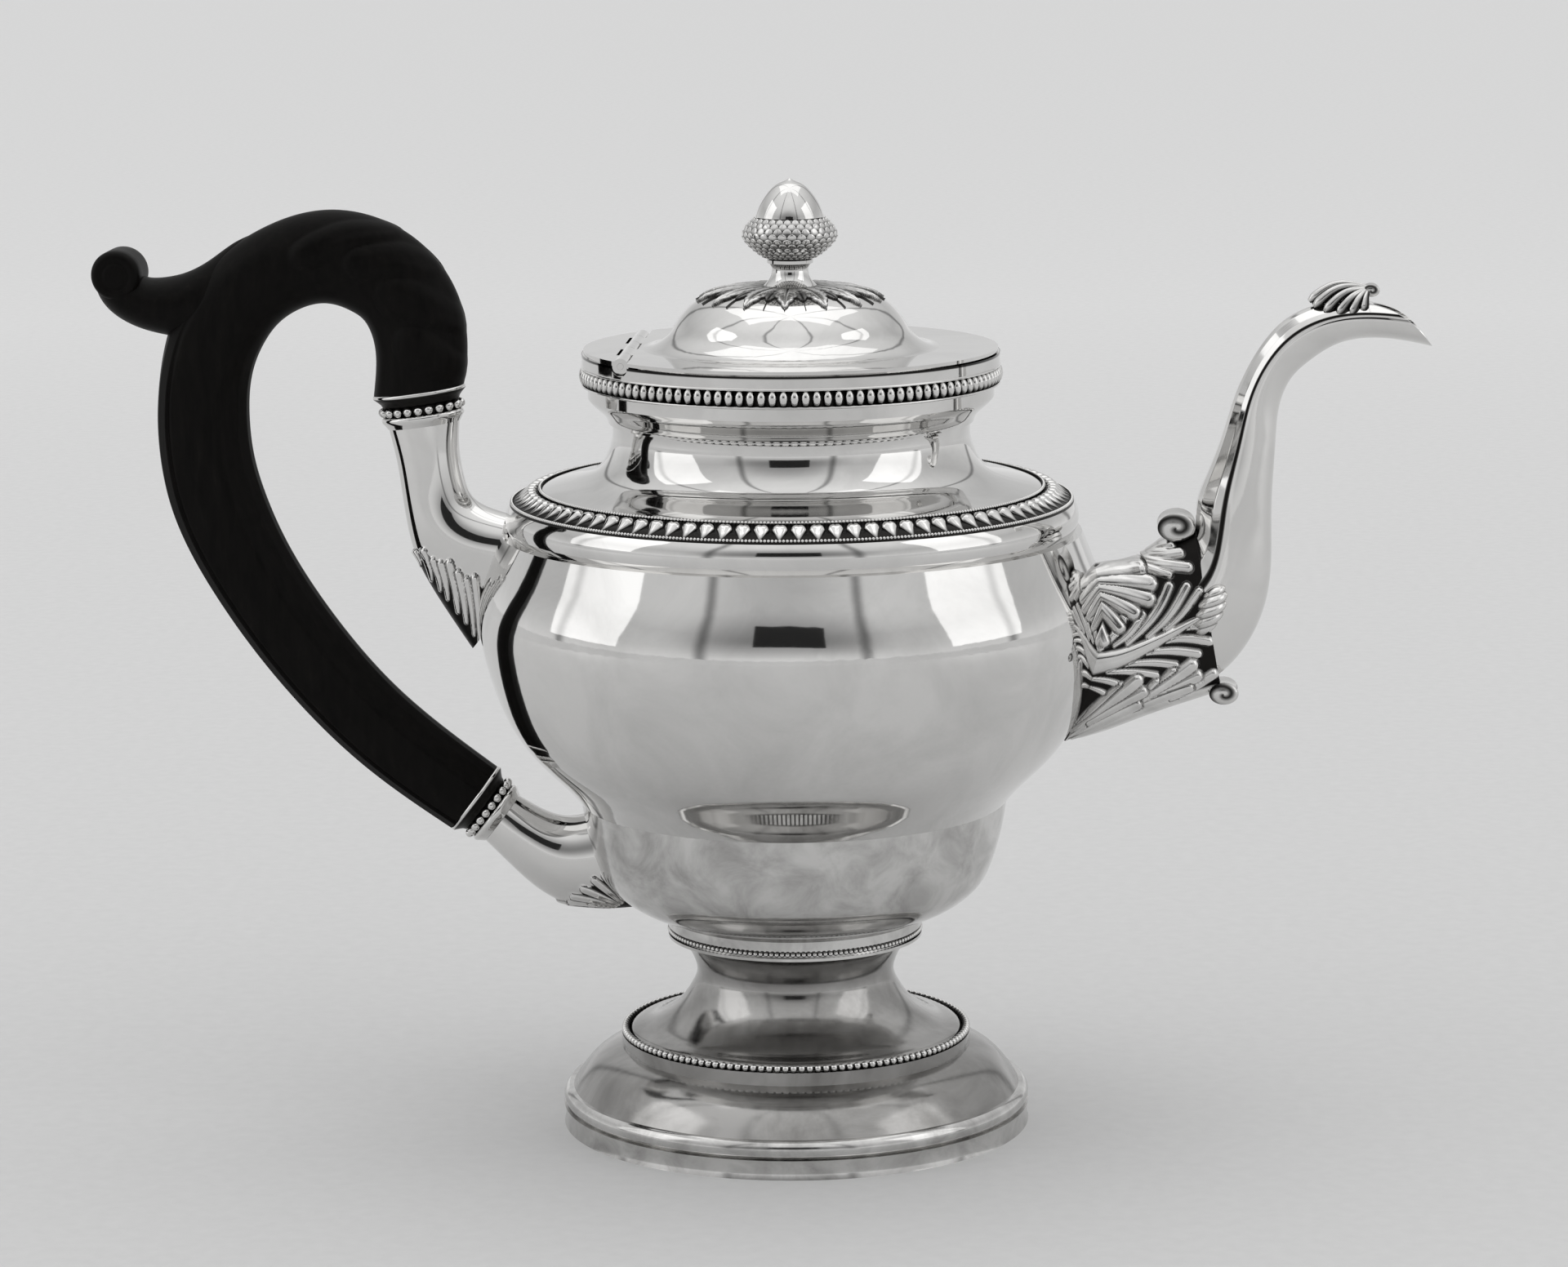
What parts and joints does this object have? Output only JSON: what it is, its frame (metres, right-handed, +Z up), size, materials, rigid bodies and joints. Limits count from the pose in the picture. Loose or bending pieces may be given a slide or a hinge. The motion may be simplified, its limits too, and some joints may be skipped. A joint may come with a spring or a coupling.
{
  "type": "teapot",
  "caption": "Pedestal teapot in polished silver with a hinged domed lid, leaf-cast swan-neck spout, beaded bands and a dark carved wooden scroll handle.",
  "frame": {"origin": "on the vessel's axis, in the plane the foot stands on", "axes": "+X towards the spout, +Z up along the vessel's axis, handle towards -X"},
  "size_m": [0.3244, 0.1532, 0.2334],
  "materials": {
    "silver": "polished",
    "wood": "waxed ebonised wood"
  },
  "bodies": {
    "pot": {"foot_rim": "silver", "foot_dome": "silver", "foot_bead_wire": "silver", "pedestal": "silver", "stem_collar": "silver", "stem_bead_wire": "silver", "lower_bowl": "silver", "upper_body": "silver", "shoulder_moulding": "silver", "shoulder_band": "silver", "shoulder_neck": "silver", "rim_ovolo": "silver", "rim_beads": "silver", "rim_band": "silver", "hinge_deck": "silver", "hinge_knuckles": "silver", "hinge_pin": "silver", "spout": "silver", "spout_socket": "silver", "spout_shell": "silver", "handle": "wood", "upper_ferrule": "silver", "lower_ferrule": "silver", "upper_socket": "silver", "lower_socket": "silver", "handle_pins": "silver"},
    "lid": {"lid": "silver", "lid_bezel": "silver", "lid_knuckles": "silver", "calyx": "silver", "finial_stem": "silver", "finial_cup": "silver", "finial_acorn": "silver", "finial_nut": "silver"}
  },
  "joints": [
    {"name": "lid_hinge", "type": "hinge", "parent": "pot", "child": "lid", "pos_m": [-0.0387, 0, 0.1913], "axis": [0, -1, 0], "range_deg": [0, 95]}
  ]
}
